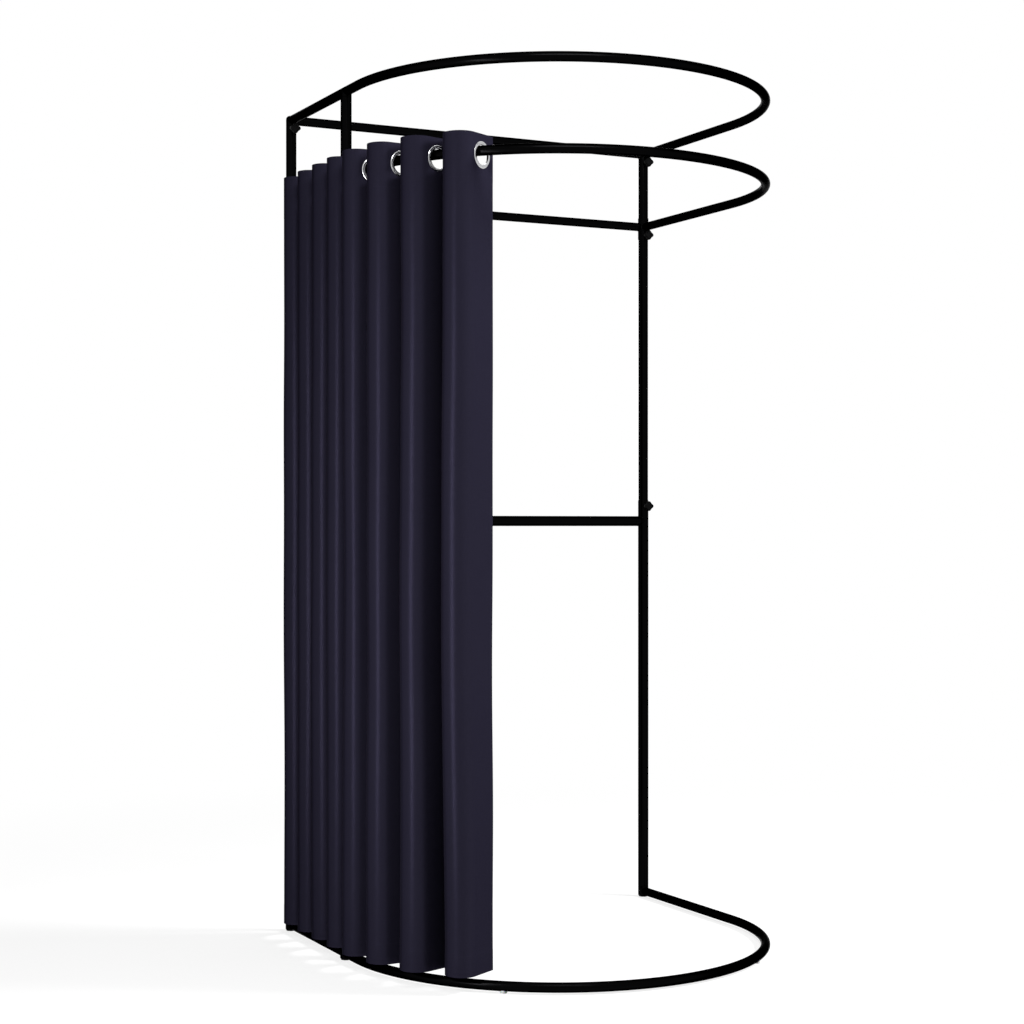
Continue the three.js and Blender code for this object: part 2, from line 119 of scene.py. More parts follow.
EYELET_SIDES = 14

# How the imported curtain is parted: eyelets that stay in place, and its first narrow strip
FIXED_EYELETS = 8
FIRST_PLEAT = 7

# Sizes that follow
LOWER_BORE_R = UPPER_R + GAP
LOWER_R = LOWER_BORE_R + LOWER_WALL
UPPER_BORE_R = UPPER_R - UPPER_WALL
COLLAR_BORE_R = UPPER_R + GAP
COLLAR_R = COLLAR_BORE_R + COLLAR_WALL
FRONT = SIDE_LENGTH - FRONT_SETBACK
BOW_R = CABIN_WIDTH / 2
RAIL_HEIGHT = TOP_HEIGHT - RAIL_DROP
BASE_HEIGHT = FOOT_HEIGHT + BASE_HOOP_R
LOWER_TOP = CROSS_HEIGHT + LOWER_RISE
SIDE_END = SIDE_LENGTH - BOW_LEAD
EYELETS = 2 * FOLDS
REAR_SPAN = FRONT - UPRIGHT_EYELET_SETBACK - FIRST_EYELET
REAR_FOLDS = int(REAR_SPAN / LEAST_PITCH)
EYELET_HEIGHT = RAIL_HEIGHT - (EYELET_BORE * math.cos(math.pi / EYELET_SIDES) - HOOP_R - GAP)
CURTAIN_TOP = RAIL_HEIGHT + CURTAIN_ABOVE_RAIL

# Fits: how much thinner spigots are than their tubes, a stem's play in its boss, and how deep
# ends sit in what carries them
BOW_SPIGOT_STEP = 0.0022
BAR_SPIGOT_STEP = 0.0016
STEM_PLAY = 0.0004
BOSS_BORE_R = STEM_R + STEM_PLAY
COLLAR_BUTT = 0.001
UPRIGHT_BUTT = 0.0009
BOSS_BUTT = 0.0012
SPIGOT_START = 0.002
SIDE_SPIGOT_SEAT = 0.020
RAIL_SPIGOT_SEAT = 0.006
POST_SPIGOT_SEAT = 0.005

# Sides of round things, bevels, and weld beads as their size and number of ripples
TUBE_SIDES = 48
BOW_STEPS = 144
HEAD_SIDES = 96
STEM_SIDES = 24
GLIDE_SIDES = 64
RING_SIDES = 72
SHARP_EDGE = math.radians(38)
ROD_BEVEL = 0.0005
PIPE_BEVEL = 0.0004
SCREW_BEVEL = 0.0006
POST_ROUNDING = 0.0006
TUBE_BEAD = (0.0021, 22)
BOSS_BEAD = (0.0015, 15)
BEAD_STEPS = 96
BEAD_SIDES = 9
BEAD_RIPPLE = 0.10
BEAD_SWELL = 0.05
BEAD_FLATNESS = 0.72

# The cloth's half thickness, its seams and threads, and its holes for the eyelets
CLOTH_HALF = 0.00055
HEM_HALF = 0.00078
HEADER_HALF = 0.00072
HEM_BAND = 0.045
HEADER_BAND = 0.098
EDGE_SEAM = 0.004
THREAD_PITCH = 0.0009
STITCH_PITCH = 0.0036
STITCH_HALF = 0.00045
CLOTH_SHARP_EDGE = math.radians(50)
HOLE_CLEARANCE = 0.0012
HOLE_R = EYELET_BARREL + HOLE_CLEARANCE
HOLE_EDGE = 0.0034

# The rear left upright stands where its foot does
FOOT_LOW, FOOT_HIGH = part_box("foot_rear_left")
CORNER = (FOOT_LOW + FOOT_HIGH) / 2
UP = np.array([0.0, 0.0, 1.0])
INWARD = np.array([1.0, 0.0, 0.0])
OUTWARD = -INWARD
FORWARD = np.array([0.0, -1.0, 0.0])
PLACES = {
    "rear_left": (0.0, 0.0),
    "front_left": (0.0, -FRONT),
    "rear_right": (CABIN_WIDTH, 0.0),
}
SCREW_WAYS = {"rear_left": INWARD, "front_left": INWARD, "rear_right": FORWARD}
BAR_WAYS = {"rear_left": INWARD, "rear_right": OUTWARD}
SIDES = {"left": ("rear_left", "front_left"), "right": ("rear_right",)}

# The photograph's camera, fitted on the hoops and uprights
PICTURE = 1024
FOCAL_PIXELS = 1969.41
SHIFT_PIXELS = 13.55
SENSOR = 36
CAMERA_PLACE = (-1.677, -4.5706, 0.9941)
CAMERA_YAW = -0.4633
FARTHEST_SEEN = 100


def spot(x, y, z):
    """A point given from the rear left upright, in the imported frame."""
    return np.array([CORNER.x + x, CORNER.y + y, z])


def add_object(name, data):
    made = bpy.data.objects.new(name, data)
    bpy.context.scene.collection.objects.link(made)
    return made


def add_camera():
    camera = add_object("camera", bpy.data.cameras.new("camera"))
    camera.location = spot(*CAMERA_PLACE)
    camera.rotation_euler = (math.pi / 2, 0, CAMERA_YAW)
    camera.data.sensor_width = SENSOR
    camera.data.lens = FOCAL_PIXELS / PICTURE * SENSOR
    camera.data.shift_y = SHIFT_PIXELS / PICTURE
    camera.data.clip_end = FARTHEST_SEEN
    bpy.context.scene.camera = camera


# Materials

class Nodes:
    """A material's node tree with short calls for the nodes that it needs."""

    def __init__(self, name, **shader):
        self.material = bpy.data.materials.new(name)
        self.material.use_nodes = True
        self.tree = self.material.node_tree
        self.shader = self.tree.nodes["Principled BSDF"]
        for socket, value in shader.items():
            self.shader.inputs[socket.replace("_", " ")].default_value = value

    def add(self, kind, settings=None, **inputs):
        node = self.tree.nodes.new(kind)
        for key, value in (settings or {}).items():
            setattr(node, key, value)
        for key, value in inputs.items():
            self.put(value, node.inputs[key.replace("_", " ")])
        return node

    def put(self, value, socket):
        if isinstance(value, bpy.types.NodeSocket):
            self.tree.links.new(value, socket)
        else:
            socket.default_value = value

    def link(self, colour, roughness, normal):
        for name, value in (("Base Color", colour), ("Roughness", roughness), ("Normal", normal)):
            self.put(value, self.shader.inputs[name])

    def coordinates(self, output="Object"):
        return self.add("ShaderNodeTexCoord").outputs[output]

    def math(self, operation, a, b=0.0, c=0.0):
        node = self.add("ShaderNodeMath", {"operation": operation})
        for socket, value in zip(node.inputs, (a, b, c)):
            self.put(value, socket)
        return node.outputs[0]

    def noise(self, vector, scale, detail):
        node = self.add("ShaderNodeTexNoise", Vector=vector, Scale=scale, Detail=detail)
        return node.outputs["Fac"]

    def spread(self, value, low, high):
        return self.add("ShaderNodeMapRange", Value=value, To_Min=low, To_Max=high).outputs["Result"]

    def mix(self, share, first, second, blend="MIX"):
        """Mixes two colours, which are the node's inputs 6 and 7 and its output 2."""
        node = self.add("ShaderNodeMix", {"data_type": "RGBA", "blend_type": blend})
        self.put(share, node.inputs[0])
        self.put(first, node.inputs[6])
        self.put(second, node.inputs[7])
        return node.outputs[2]

    def bump(self, height, distance, strength, below=None):
        node = self.add("ShaderNodeBump", Height=height, Strength=strength, Distance=distance)
        if below is not None:
            self.put(below, node.inputs["Normal"])
        return node.outputs["Normal"]

    def waves(self, value, pitch):
        return self.math("SINE", self.math("MULTIPLY", value, 2 * math.pi / pitch))

    def stretched(self, u, v, along, up):
        """The cloth's map as a place, with a factor along the cloth and one up it."""
        scaled = self.add("ShaderNodeCombineXYZ", X=self.math("MULTIPLY", u, along),
                          Y=self.math("MULTIPLY", v, up))
        return scaled.outputs["Vector"]


def frame_paint():
    dark, light = (0.0018, 0.0018, 0.0019, 1), (0.0028, 0.0028, 0.0030, 1)
    n = Nodes("satin_black_powder_coat", Metallic=1.0, Specular_Tint=(0.04, 0.04, 0.04, 1))
    at = n.coordinates()
    broad = n.noise(at, scale=9.0, detail=3.0)
    grain = n.noise(at, scale=1400.0, detail=2.0)
    peel = n.bump(n.noise(at, scale=420.0, detail=1.0), distance=0.00003, strength=0.4)
    n.link(colour=n.mix(broad, dark, light),
           roughness=n.math("ADD", n.spread(broad, low=0.20, high=0.26),
                            n.spread(grain, low=-0.02, high=0.02)),
           normal=n.bump(grain, distance=0.00001, strength=0.30, below=peel))
    return n.material


def weld_paint():
    dark, light = (0.0020, 0.0020, 0.0021, 1), (0.0036, 0.0036, 0.0038, 1)
    n = Nodes("painted_weld_bead", Metallic=1.0, Specular_Tint=(0.04, 0.04, 0.04, 1))
    spatter = n.noise(n.coordinates(), scale=900.0, detail=3.0)
    n.link(colour=n.mix(spatter, dark, light),
           roughness=n.spread(spatter, low=0.34, high=0.46),
           normal=n.bump(spatter, distance=0.00012, strength=0.6))
    return n.material


def screw_plastic():
    dark, light = (0.0020, 0.0020, 0.0022, 1), (0.0036, 0.0036, 0.0038, 1)
    n = Nodes("moulded_black_plastic", Metallic=0.0, Specular_IOR_Level=0.03)
    at = n.coordinates()
    grain = n.noise(at, scale=2600.0, detail=2.0)
    broad = n.noise(at, scale=60.0, detail=2.0)
    n.link(colour=n.mix(broad, dark, light),
           roughness=n.math("ADD", n.spread(broad, low=0.34, high=0.42),
                            n.spread(grain, low=-0.03, high=0.03)),
           normal=n.bump(grain, distance=0.00004, strength=0.6))
    return n.material


def foot_rubber():
    dark, light = (0.004, 0.004, 0.004, 1), (0.008, 0.008, 0.0078, 1)
    n = Nodes("matt_black_rubber", Metallic=0.0, Specular_IOR_Level=0.12)
    at = n.coordinates()
    grain = n.noise(at, scale=1800.0, detail=3.0)
    dust = n.noise(at, scale=120.0, detail=4.0)
    n.link(colour=n.mix(dust, dark, light),
           roughness=n.spread(grain, low=0.70, high=0.86),
           normal=n.bump(grain, distance=0.00006, strength=0.7))
    return n.material


def glide_rubber():
    dark, light = (0.84, 0.85, 0.86, 1), (0.90, 0.91, 0.92, 1)
    n = Nodes("pale_translucent_rubber", Metallic=0.0, Specular_IOR_Level=0.4,
              Subsurface_Weight=0.25, Subsurface_Scale=0.002)
    cloud = n.noise(n.coordinates(), scale=260.0, detail=3.0)
    n.link(colour=n.mix(cloud, dark, light),
           roughness=n.spread(cloud, low=0.32, high=0.44),
           normal=n.bump(cloud, distance=0.00008, strength=0.4))
    return n.material


def eyelet_chrome():
    dark, light = (0.50, 0.50, 0.52, 1), (0.62, 0.62, 0.63, 1)
    n = Nodes("polished_eyelet_chrome", Metallic=1.0)
    at = n.coordinates()
    haze = n.noise(at, scale=160.0, detail=4.0)
    marks = n.noise(at, scale=1500.0, detail=1.0)
    n.link(colour=n.mix(haze, dark, light),
           roughness=n.spread(haze, low=0.12, high=0.22),
           normal=n.bump(marks, distance=0.000008, strength=0.3))
    return n.material


def curtain_cloth():
    """A dense matt weave. The map's U runs along the cloth and V up it, both in metres."""
    dark, light = (0.016, 0.0145, 0.0271, 1), (0.0202, 0.0185, 0.0321, 1)
    dim, full = (0.85, 0.85, 0.85, 1), (1.15, 1.15, 1.15, 1)
    thread = (0.0210, 0.0192, 0.0340, 1)
    n = Nodes("navy_woven_cloth", Metallic=0.21, Specular_IOR_Level=0.0,
              Specular_Tint=(0.08, 0.08, 0.08, 1))
    split = n.add("ShaderNodeSeparateXYZ", Vector=n.coordinates("UV"))
    u, v = split.outputs["X"], split.outputs["Y"]
    weave = n.math("MULTIPLY", n.waves(u, THREAD_PITCH), n.waves(v, THREAD_PITCH))
    slub = n.noise(n.stretched(u, v, along=900.0, up=30.0), scale=1.0, detail=3.0)
    pick = n.noise(n.stretched(u, v, along=24.0, up=700.0), scale=1.0, detail=3.0)
    cloud = n.noise(n.stretched(u, v, along=1.0, up=1.0), scale=5.0, detail=3.0)
    uneven = n.math("ADD", slub, pick)
    tone = n.mix(n.spread(cloud, low=0.25, high=0.75), dark, light)
    streaks = n.mix(n.math("MULTIPLY", uneven, 0.5), dim, full)
    stitches = stitch_lines(n, u, v)
    fine = n.bump(weave, distance=0.00006, strength=0.30)
    seams = n.bump(stitches, distance=0.0006, strength=0.5, below=fine)
    n.link(colour=n.mix(stitches, n.mix(1.0, tone, streaks, "MULTIPLY"), thread),
           roughness=n.spread(slub, low=0.25, high=0.33),
           normal=n.bump(uneven, distance=0.00008, strength=0.25, below=seams))
    return n.material


def stitch_lines(n, u, v):
    """Dashes of thread along the seams of the hem and header and below the top edge, as a mask."""
    dash_start = -0.35
    height = CURTAIN_TOP - CURTAIN_BOTTOM
    rows = 0.0
    for seam in (HEM_BAND, height - HEADER_BAND, height - EDGE_SEAM):
        rows = n.math("ADD", rows, n.math("COMPARE", v, seam, STITCH_HALF))
    return n.math("MULTIPLY", rows, n.math("GREATER_THAN", n.waves(u, STITCH_PITCH), dash_start))


PAINT = frame_paint()
WELD = weld_paint()
PLASTIC = screw_plastic()
RUBBER = foot_rubber()
PALE_RUBBER = glide_rubber()
CHROME = eyelet_chrome()
CLOTH = curtain_cloth()


# Mesh building

class Shell:
    """Vertices, faces and material indices of one piece, gathered from several solids."""

    def __init__(self):
        self.points = []
        self.faces = []
        self.kinds = []

    def rings(self, rings, closed=False, kind=0):
        """Skins rings of points. An unclosed run of rings gets a flat cap at both ends."""
        first = len(self.points)
        count = len(rings[0])
        for ring in rings:
            self.points.extend(np.asarray(ring, float))
        last = len(rings) if closed else len(rings) - 1
        for i in range(last):
            a = first + i * count
            b = first + (i + 1) % len(rings) * count
            for j in range(count):
                k = (j + 1) % count
                self.faces.append((a + j, a + k, b + k, b + j))
                self.kinds.append(kind)
        if not closed:
            self.faces.append(tuple(first + j for j in reversed(range(count))))
            self.faces.append(tuple(first + last * count + j for j in range(count)))
            self.kinds.extend((kind, kind))

    def mesh(self, name):
        mesh = bpy.data.meshes.new(name)
        mesh.from_pydata([tuple(p) for p in self.points], [], self.faces)
        mesh.polygons.foreach_set("material_index", self.kinds)
        mesh.polygons.foreach_set("use_smooth", [True] * len(mesh.polygons))
        work = bmesh.new()
        work.from_mesh(mesh)
        bmesh.ops.recalc_face_normals(work, faces=work.faces)
        work.to_mesh(mesh)
        work.free()
        mesh.set_sharp_from_angle(angle=SHARP_EDGE)
        return mesh


def across(direction):
    """Two unit vectors across a direction."""
    side = np.cross(direction, UP)
    if np.linalg.norm(side) < 1e-6:
        side = np.array([1.0, 0.0, 0.0])
    side /= np.linalg.norm(side)
    return side, np.cross(side, direction)


def full_turn(steps):
    return np.linspace(0, 2 * math.pi, steps, endpoint=False)


def circle(first, second, sides):
    """Points round the origin at a distance of one, in the plane of two directions."""
    angles = full_turn(sides)
    return np.outer(np.cos(angles), first) + np.outer(np.sin(angles), second)


def turned(shell, start, direction, profile, sides=TUBE_SIDES, closed=False, kind=0):
    """A solid of revolution: the profile is (radius, distance along the direction)."""
    side, other = across(direction)
    outline = circle(side, other, sides)
    rings = [start + direction * along + outline * radius for radius, along in profile]
    shell.rings(rings, closed, kind)


def rod(shell, start, end, radius, bevel=ROD_BEVEL, kind=0, sides=TUBE_SIDES):
    """A round bar with small bevels at both ends."""
    length = float(np.linalg.norm(end - start))
    direction = (end - start) / length
    corner = bevel * 0.3
    profile = [(radius - bevel, 0.0), (radius - corner, corner), (radius, bevel),
               (radius, length - bevel), (radius - corner, length - corner),
               (radius - bevel, length)]
    turned(shell, start, direction, profile, sides, kind=kind)


def pipe(shell, start, end, radius, bore, bevel=PIPE_BEVEL):
    """A round tube, open at both ends, with small bevels on its rims."""
    length = float(np.linalg.norm(end - start))
    direction = (end - start) / length
    profile = [(bore, bevel), (bore + bevel / 2, 0.0), (radius - bevel, 0.0), (radius, bevel),
               (radius, length - bevel), (radius - bevel, length), (bore + bevel / 2, length),
               (bore, length - bevel)]
    turned(shell, start, direction, profile, closed=True)


def on_hoop(along):
    """The place and heading on a hoop's centreline, by the distance from its rear left corner."""
    along = np.asarray(along, float)
    bend = np.clip((along - SIDE_LENGTH) / BOW_R, 0, math.pi)
    straight = along - bend * BOW_R
    heading = np.stack([np.sin(bend), -np.cos(bend)], -1)
    x = BOW_R * (1 - np.cos(bend))
    y = -BOW_R * np.sin(bend)
    y = np.where(bend < math.pi, y - np.minimum(along, SIDE_LENGTH), y + straight - 2 * SIDE_LENGTH)
    return np.stack([x, y], -1), heading


def bow(shell, height, radius):
    """The half round tube of a hoop, with a short straight lead at each end."""
    start = SIDE_LENGTH - BOW_LEAD + GAP
    length = math.pi * BOW_R + 2 * (BOW_LEAD - GAP)
    inner = np.linspace(ROD_BEVEL, length - ROD_BEVEL, BOW_STEPS + 1)
    places, headings = on_hoop(start + np.concatenate([[0.0], inner, [length]]))
    rim = [radius - ROD_BEVEL]
    radii = np.concatenate([rim, np.full(BOW_STEPS + 1, radius), rim])
    rings = []
    for place, heading, r in zip(places, headings, radii):
        out = np.array([-heading[1], heading[0], 0.0])
        rings.append(spot(*place, height) + circle(UP, out, TUBE_SIDES) * r)
    shell.rings(rings)


def weld(shell, centre, trunk_r, branch, branch_r, bead=TUBE_BEAD):
    """A rippled bead round a branch where it meets the side of an upright trunk."""
    size, ripples = bead
    side = np.cross(UP, branch)
    rings = []
    for angle in full_turn(BEAD_STEPS):
        out = np.cos(angle) * UP + np.sin(angle) * side
        offset = branch_r * np.sin(angle)
        reach = math.sqrt(max(trunk_r ** 2 - offset ** 2, 0.0))
        middle = centre + branch * reach + out * branch_r
        thick = 1 + BEAD_RIPPLE * math.sin(ripples * angle) + BEAD_SWELL * math.sin(3 * angle + 1.0)
        away = out * 0.7 + branch * 0.7
        flat = np.cross(away, np.cross(out, branch))
        flat /= np.linalg.norm(flat)
        rings.append([middle + size * thick * (math.cos(t) * away * BEAD_FLATNESS + math.sin(t) * flat)
                      for t in full_turn(BEAD_SIDES)])
    shell.rings(rings, closed=True, kind=1)


def piece(name, body, shell, materials, slot, *nodes):
    """A visible piece, with the body that it rides on and the nodes that it stands for."""
    mesh = shell.mesh(name)
    for material in materials:
        mesh.materials.append(material)
    made = add_object(name, mesh)
    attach(made, body)
    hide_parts(*nodes)


def painted(node, body, shell):
    piece(node + "_tube", body, shell, [PAINT, WELD], "frame_paint", node)


# Frame

def boss(shell, axis, direction, trunk_r):
    """The sleeve that a thumb screw goes through, welded on a tube or collar."""
    root = axis + direction * (trunk_r - BOSS_BUTT)
    pipe(shell, root, axis + direction * BOSS_REACH, BOSS_R, BOSS_BORE_R, SCREW_BEVEL)
    weld(shell, axis, trunk_r, direction, BOSS_R, BOSS_BEAD)


def side_run(shell, x, height, start, end, radius):
    rod(shell, spot(x, start, height), spot(x, end, height), radius)


def bow_spigot(shell, x, height, radius, seat):
    """The thinner front end of a side tube, which goes into the bow."""
    side_run(shell, x, height, -SIDE_END + seat, -SIDE_END - SPIGOT_REACH, radius - BOW_SPIGOT_STEP)


def side_tube(shell, x, height, radius):
    side_run(shell, x, height, 0, -SIDE_END, radius)
    bow_spigot(shell, x, height, radius, SIDE_SPIGOT_SEAT)


def bar_stub(shell, name, height, radius, trunk_r, start=0.0, spigot_start=0.0):
    """A short tube out of a rear corner, with the spigot that goes into the bar at the back."""
    at = spot(*PLACES[name], height)
    way = BAR_WAYS[name]
    rod(shell, at + way * start, at + way * STUB_REACH, radius)
    rod(shell, at + way * spigot_start, at + way * (STUB_REACH + SPIGOT_REACH),
        radius - BAR_SPIGOT_STEP)
    weld(shell, at, trunk_r, way, radius)


def top_post(shell, x, y, capped):
    """A post of the top hoop, domed at a rear corner, with its spigot down into the upright."""
    low = TOP_HEIGHT - POST_DROP
    rise = POST_DROP + (HOOP_R if capped else 0)
    rounding = CAP_ROUNDING if capped else POST_ROUNDING
    profile = [(UPPER_R - PIPE_BEVEL, 0.0), (UPPER_R, PIPE_BEVEL)]
    steps = 13 if capped else 4
    for turn in np.linspace(0, math.pi / 2, steps):
        profile.append((UPPER_R - rounding * (1 - math.cos(turn)), rise - rounding * (1 - math.sin(turn))))
    turned(shell, spot(x, y, low), UP, profile)
    rod(shell, spot(x, y, low - POST_SPIGOT), spot(x, y, TOP_HEIGHT), UPPER_BORE_R - GAP)


def base_post(shell, x, y):
    """A post of the base hoop, with its spigot up into the upright."""
    high = BASE_HEIGHT + POST_DROP
    rod(shell, spot(x, y, FOOT_HEIGHT), spot(x, y, high), LOWER_R)
    rod(shell, spot(x, y, high - POST_SPIGOT_SEAT), spot(x, y, high + POST_SPIGOT), LOWER_BORE_R - GAP)


def add_bow(name, body, height, radius):
    shell = Shell()
    bow(shell, height, radius)
    painted(name, body, shell)


def add_back_bar(name, body, height, radius):
    end = STUB_REACH + GAP
    shell = Shell()
    pipe(shell, spot(end, 0, height), spot(CABIN_WIDTH - end, 0, height), radius, radius - HOOP_WALL)
    painted(name, body, shell)


def add_base():
    for side, uprights in SIDES.items():
        shell = Shell()
        side_tube(shell, PLACES[uprights[0]][0], BASE_HEIGHT, BASE_HOOP_R)
        for name in uprights:
            base_post(shell, *PLACES[name])
        painted("base_side_" + side, "lower_frame", shell)
    add_bow("base_bow", "lower_frame", BASE_HEIGHT, BASE_HOOP_R)


def add_top():
    for side, uprights in SIDES.items():
        shell = Shell()
        side_tube(shell, PLACES[uprights[0]][0], TOP_HEIGHT, HOOP_R)
        for name in uprights:
            top_post(shell, *PLACES[name], capped=name in BAR_WAYS)
        bar_stub(shell, uprights[0], TOP_HEIGHT, HOOP_R, UPPER_R)
        painted("top_side_" + side, "upper_frame", shell)
    add_bow("top_bow", "upper_frame", TOP_HEIGHT, HOOP_R)
    add_back_bar("top_back_bar", "upper_frame", TOP_HEIGHT, HOOP_R)


def rail_side(uprights):
    """The rail's side tube, in runs between the collars that ride on the uprights."""
    shell = Shell()
    x = PLACES[uprights[0]][0]
    starts = [PLACES[name][1] - COLLAR_R + COLLAR_BUTT for name in uprights]
    ends = [PLACES[name][1] + COLLAR_R - COLLAR_BUTT for name in uprights[1:]] + [-SIDE_END]
    for start, end in zip(starts, ends):
        side_run(shell, x, RAIL_HEIGHT, start, end, HOOP_R)
    bow_spigot(shell, x, RAIL_HEIGHT, HOOP_R, RAIL_SPIGOT_SEAT)
    for name in uprights:
        place = PLACES[name]
        pipe(shell, spot(*place, RAIL_HEIGHT - COLLAR_DROP), spot(*place, RAIL_HEIGHT + COLLAR_RISE),
             COLLAR_R, COLLAR_BORE_R, ROD_BEVEL)
        boss(shell, spot(*place, RAIL_HEIGHT - RAIL_SCREW_DROP), SCREW_WAYS[name], COLLAR_R)
    for name in uprights:
        at = spot(*PLACES[name], RAIL_HEIGHT)
        weld(shell, at, COLLAR_R, FORWARD, HOOP_R)
        if name not in BAR_WAYS:
            weld(shell, at, COLLAR_R, -FORWARD, HOOP_R)
    bar_stub(shell, uprights[0], RAIL_HEIGHT, HOOP_R, COLLAR_R, COLLAR_R - COLLAR_BUTT,
             COLLAR_R + SPIGOT_START)
    return shell


def add_rail():
    for side, uprights in SIDES.items():
        painted("rail_side_" + side, "rail_hoop", rail_side(uprights))
    add_bow("rail_bow", "rail_hoop", RAIL_HEIGHT, HOOP_R)
    add_back_bar("rail_back_bar", "rail_hoop", RAIL_HEIGHT, HOOP_R)


def add_uprights():
    low = BASE_HEIGHT + POST_DROP + GAP
    high = TOP_HEIGHT - POST_DROP - GAP
    for name, (x, y) in PLACES.items():
        lower = Shell()
        pipe(lower, spot(x, y, low), spot(x, y, LOWER_TOP), LOWER_R, LOWER_BORE_R)
        boss(lower, spot(x, y, LOWER_TOP - CLAMP_SCREW_DROP), SCREW_WAYS[name], LOWER_R)
        upper = Shell()
        pipe(upper, spot(x, y, LOWER_TOP - INSERTED), spot(x, y, high), UPPER_R, UPPER_BORE_R)
        if name in BAR_WAYS:
            bar_stub(lower, name, CROSS_HEIGHT, CROSS_R, LOWER_R, LOWER_R - UPRIGHT_BUTT,
                     LOWER_R + SPIGOT_START)
            boss(upper, spot(x, y, TOP_HEIGHT - TOP_SCREW_DROP), FORWARD, UPPER_R)
        painted("lower_upright_" + name, "lower_frame", lower)
        painted("upper_upright_" + name, "upper_frame", upper)
    add_back_bar("cross_bar", "lower_frame", CROSS_HEIGHT, CROSS_R)


# Thumb screws, feet and glides

def head_profile():
    """The screw head from its hub round to its dished front, as (radius, distance from its back)."""
    edge = 0.0022
    rim = []
    for turn in np.linspace(0, 1, 7) * math.pi / 2:
        rim.append((HEAD_R - edge + edge * math.sin(turn), edge - edge * math.cos(turn)))
    front = [(r, HEAD_THICKNESS - a) for r, a in reversed(rim)]
    dish = [(HEAD_R * 0.52, HEAD_THICKNESS), (HEAD_R * 0.46, HEAD_THICKNESS - 0.0007),
            (HEAD_R * 0.05, HEAD_THICKNESS - 0.0009)]
    return [(HUB_R * 0.9, 0.0)] + rim + front + dish


def lobed(angles, radius):
    """Radii round the head: round near its middle, and dipping between the lobes further out."""
    round_share, blend_share = 0.45, 0.35
    share = min(1.0, max(0.0, (radius / HEAD_R - round_share) / blend_share))
    dip = LOBE_DEPTH_SHARE * (1 - np.cos(LOBES * angles)) / 2
    return radius * (1 - share) + radius * (1 - dip) * share


def thumb_screw(name, place, height, direction, tip):
    shell = Shell()
    axis = spot(*place, height)
    side, other = across(direction)
    angles = full_turn(HEAD_SIDES)
    rings = []
    for radius, along in head_profile():
        radii = lobed(angles, radius)
        outline = np.outer(np.cos(angles) * radii, side) + np.outer(np.sin(angles) * radii, other)
        rings.append(axis + direction * (HEAD_START + along) + outline)
    shell.rings(rings)
    hub = [(HUB_R - 0.0004, 0.0), (HUB_R, 0.0004), (HUB_R, 0.0035), (HUB_R + 0.0012, 0.0052)]
    turned(shell, axis + direction * (BOSS_REACH + GAP), direction, hub)
    rod(shell, axis + direction * tip, axis + direction * HEAD_START, STEM_R, SCREW_BEVEL, kind=1,
        sides=STEM_SIDES)
    piece(name + "_knob", name, shell, [PLASTIC, CHROME], "screw_plastic", name)


def add_screws():
    top = TOP_HEIGHT - TOP_SCREW_DROP
    rail = RAIL_HEIGHT - RAIL_SCREW_DROP
    clamp = LOWER_TOP - CLAMP_SCREW_DROP
    for name, place in PLACES.items():
        thumb_screw("rail_screw_" + name, place, rail, SCREW_WAYS[name], COLLAR_BORE_R)
        thumb_screw("clamp_screw_" + name, place, clamp, SCREW_WAYS[name], LOWER_BORE_R)
    for name in BAR_WAYS:
        thumb_screw("top_screw_" + name, PLACES[name], top, FORWARD, UPPER_BORE_R)


def add_feet():
    high = FOOT_HEIGHT - GAP
    profile = [(FOOT_R - 0.0008, 0.0), (FOOT_R - 0.0002, 0.0003), (FOOT_R, 0.0009),
               (FOOT_R, high - ROD_BEVEL), (FOOT_R - ROD_BEVEL, high)]
    for name, place in PLACES.items():
        shell = Shell()
        turned(shell, spot(*place, 0), UP, profile)
        rod(shell, spot(*place, high), spot(*place, high + FOOT_PEG), FOOT_PEG_R)
        piece("foot_" + name + "_pad", "lower_frame", shell, [RUBBER], "foot_rubber", "foot_" + name)


def add_glides():
    for name, side in (("glide_left", -1), ("glide_right", 1)):
        along = SIDE_LENGTH + BOW_R * (math.pi / 2 + side * GLIDE_ANGLE)
        place, heading = on_hoop(along)
        glide(name, place, heading)


def glide(name, place, heading):
    """A small round pad under the base hoop, hollowed to seat on the tube."""
    shell = Shell()
    ahead = np.array([heading[0], heading[1], 0.0])
    out = np.array([-heading[1], heading[0], 0.0])
    saddle = BASE_HOOP_R + GAP
    rings = []
    for share, level in ((0.93, 0.0), (0.99, 0.0004), (1.0, 0.0012)):
        outline = circle(ahead, out, GLIDE_SIDES) * GLIDE_R * share
        outline[:, 2] = level
        rings.append(spot(*place, 0) + outline)
    for share in (1.0, 0.97, 0.5, 0.02):
        outline = circle(ahead, out, GLIDE_SIDES) * GLIDE_R * share
        off = GLIDE_R * share * np.sin(full_turn(GLIDE_SIDES))
        seat = BASE_HEIGHT - np.sqrt(saddle ** 2 - np.minimum(off ** 2, saddle ** 2))
        outline[:, 2] = np.minimum(seat, GLIDE_HEIGHT)
        rings.append(spot(*place, 0) + outline)
    shell.rings(rings)
    piece(name + "_pad", "lower_frame", shell, [PALE_RUBBER], "glide_rubber", name)


# Curtain: its line past the eyelets

COLUMNS_FLANK = 13
COLUMNS_CREST = 26
DRIFT = np.random.default_rng(7).uniform(0, 2 * math.pi, (FOLDS + 1, 6))
DRIFT_START = 0.05
DRIFT_EASE = 0.55
CALM_INNER_FOLD = REAR_FOLDS
CALM_SHARE = 0.4
# Waves down the cloth, each as its size in metres along the rail or in radians, and its rate
PLACE_WAVES = ((0.0021, 2.1), (0.0012, 5.3), (0.0004, 13.0))
SLANT_WAVES = ((0.040, 1.7), (0.022, 4.4), (0.009, 11.0))


